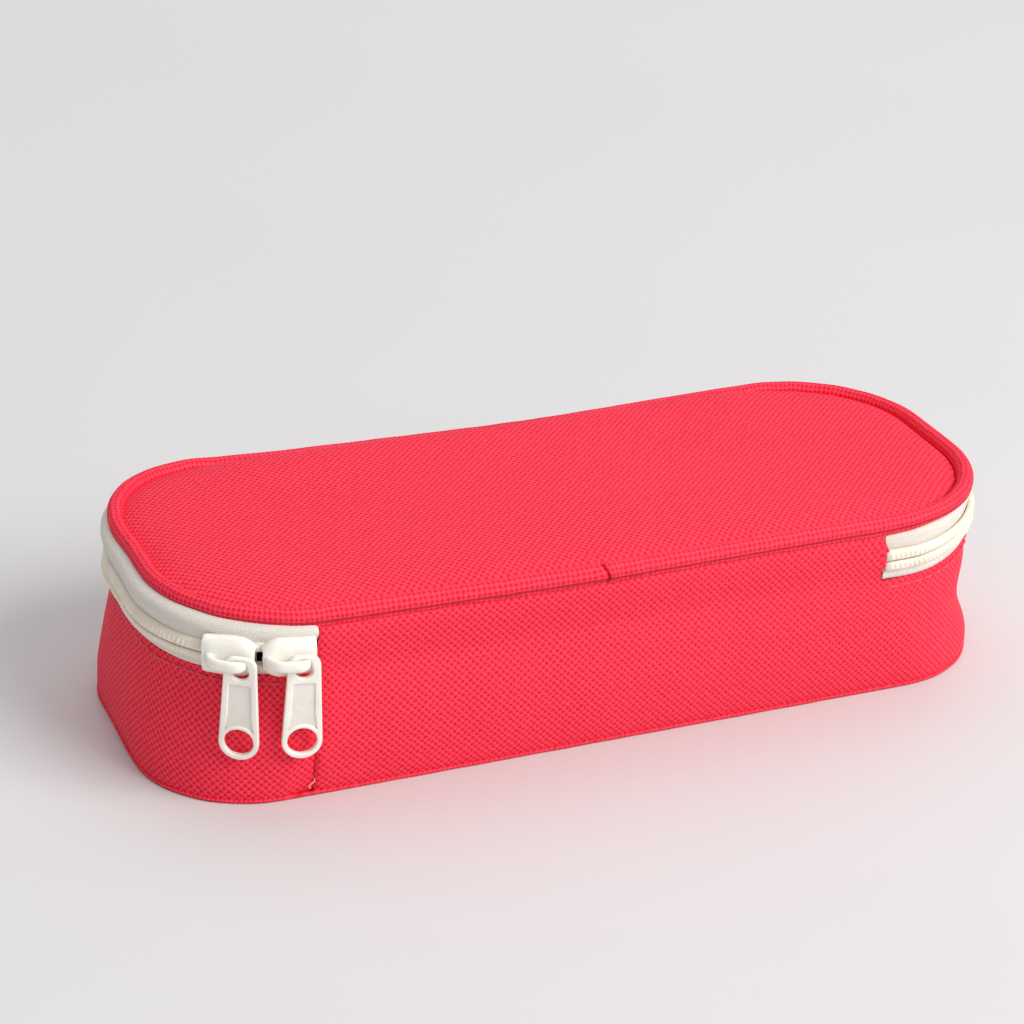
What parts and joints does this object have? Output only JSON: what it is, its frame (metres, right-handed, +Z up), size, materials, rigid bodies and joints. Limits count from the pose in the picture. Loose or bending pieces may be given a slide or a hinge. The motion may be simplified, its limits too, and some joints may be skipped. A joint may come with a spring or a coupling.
{
  "type": "pencil case",
  "caption": "Soft boxy zip pencil case of woven fabric with a piped padded lid on a fabric hinge and a two-slider coil zip round three sides.",
  "frame": {"origin": "under the middle of the case, in the plane that it stands on", "axes": "+X along the length, towards the end away from the zip sliders; +Y from the fabric hinge to the back; +Z up"},
  "size_m": [0.21, 0.0885, 0.0462],
  "materials": {
    "shell_fabric": "matte",
    "piping_fabric": "matte",
    "lining_fabric": "satin",
    "binding_tape": "matte",
    "foam": "matte",
    "base_board": "matte",
    "piping_cord": "matte",
    "zip_tape": "matte",
    "zip_coil": "satin",
    "slider_enamel": "gloss"
  },
  "bodies": {
    "case": {"wall_fabric": "shell_fabric", "side_foam": "foam", "hinge_foam": "foam", "side_lining": "lining_fabric", "hinge_lining": "lining_fabric", "bottom_panel": "shell_fabric", "bottom_board": "base_board", "bottom_lining": "lining_fabric", "bottom_seam_binding": "binding_tape", "left_seam_binding": "binding_tape", "right_seam_binding": "binding_tape", "zip_tape_lower": "zip_tape", "zip_coil_lower": "zip_coil"},
    "lid": {"lid_panel": "shell_fabric", "lid_foam": "foam", "lid_lining": "lining_fabric", "lid_piping": "piping_fabric", "lid_piping_cord": "piping_cord", "lid_seam_binding": "binding_tape", "zip_tape_upper": "zip_tape", "zip_coil_upper": "zip_coil"},
    "left_slider": {"left_slider_body": "slider_enamel"},
    "left_pull": {"left_pull": "slider_enamel"},
    "right_slider": {"right_slider_body": "slider_enamel"},
    "right_pull": {"right_pull": "slider_enamel"}
  },
  "joints": [
    {"name": "lid_hinge", "type": "hinge", "parent": "case", "child": "lid", "pos_m": [0, -0.0417, 0.0436], "axis": [1, 0, 0], "range_deg": [0, 180], "deforming": ["zip_tape_upper", "zip_coil_upper"]},
    {"name": "left_slider_travel", "type": "hinge", "parent": "case", "child": "left_slider", "pos_m": [-0.0716, -0.008, 0.03615], "axis": [0, 0, -1], "range_deg": [0, 47], "deforming": ["zip_tape_lower", "zip_coil_lower"]},
    {"name": "left_pull_swing", "type": "hinge", "parent": "left_slider", "child": "left_pull", "pos_m": [-0.08769, -0.04073, 0.03605], "axis": [-0.5131, -0.8572, -0.0436], "range_deg": [-24, 7]},
    {"name": "right_slider_travel", "type": "hinge", "parent": "case", "child": "right_slider", "pos_m": [-0.0716, -0.008, 0.03615], "axis": [0, 0, -1], "range_deg": [0, 1.2]},
    {"name": "right_pull_swing", "type": "hinge", "parent": "right_slider", "child": "right_pull", "pos_m": [-0.07464, -0.04435, 0.03605], "axis": [-0.1649, -0.9853, -0.0436], "range_deg": [-3, 85]}
  ]
}
